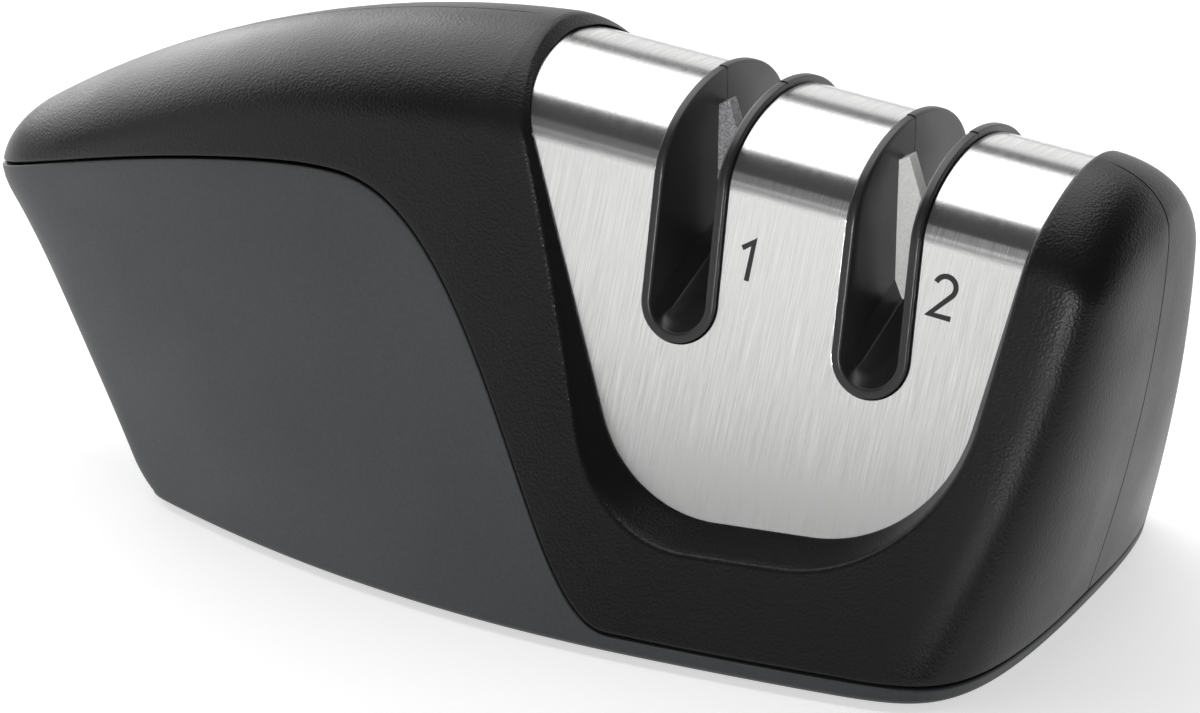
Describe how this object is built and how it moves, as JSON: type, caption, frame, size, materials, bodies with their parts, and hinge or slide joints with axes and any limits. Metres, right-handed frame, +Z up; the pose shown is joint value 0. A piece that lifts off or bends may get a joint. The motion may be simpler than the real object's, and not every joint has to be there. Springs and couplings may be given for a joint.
{
  "type": "knife sharpener",
  "caption": "Hand-held pull-through knife sharpener: a curved grip, a steel-clad block with coarse and fine slots, leaning abrasive plates and a flat base on rubber feet.",
  "frame": {"origin": "on the ground, under the middle of the overall length and width", "axes": "+X from the grip towards the end cap, -Y the front seen in the picture, +Z up"},
  "size_m": [0.1587, 0.0752, 0.064],
  "materials": {
    "shell_black": "fine leather grain, satin",
    "grip_grey": "smooth matte",
    "steel": "brushed across the bend",
    "guide_black": "satin",
    "carbide": "grainy ground edge",
    "ceramic": "smooth white ceramic",
    "inner_black": "as moulded",
    "base_black": "as moulded",
    "zinc": "zinc plated",
    "rubber": "matt"
  },
  "bodies": {
    "root": {"front_shell": "shell_black", "rear_shell": "shell_black", "grip_moulding": "grip_grey", "steel_cover": "steel", "coarse_guide_front": "guide_black", "coarse_guide_rear": "guide_black", "fine_guide_front": "guide_black", "fine_guide_rear": "guide_black", "coarse_left_plate": "carbide", "coarse_right_plate": "carbide", "fine_left_plate": "ceramic", "fine_right_plate": "ceramic", "coarse_cradle": "inner_black", "fine_cradle": "inner_black", "coarse_pin": "zinc", "fine_pin": "zinc", "inner_frame": "inner_black", "grip_rib": "inner_black", "base_plate": "base_black", "frame_screws": "zinc", "cradle_screws": "zinc", "rib_screws": "zinc", "rubber_feet": "rubber"}
  },
  "joints": []
}
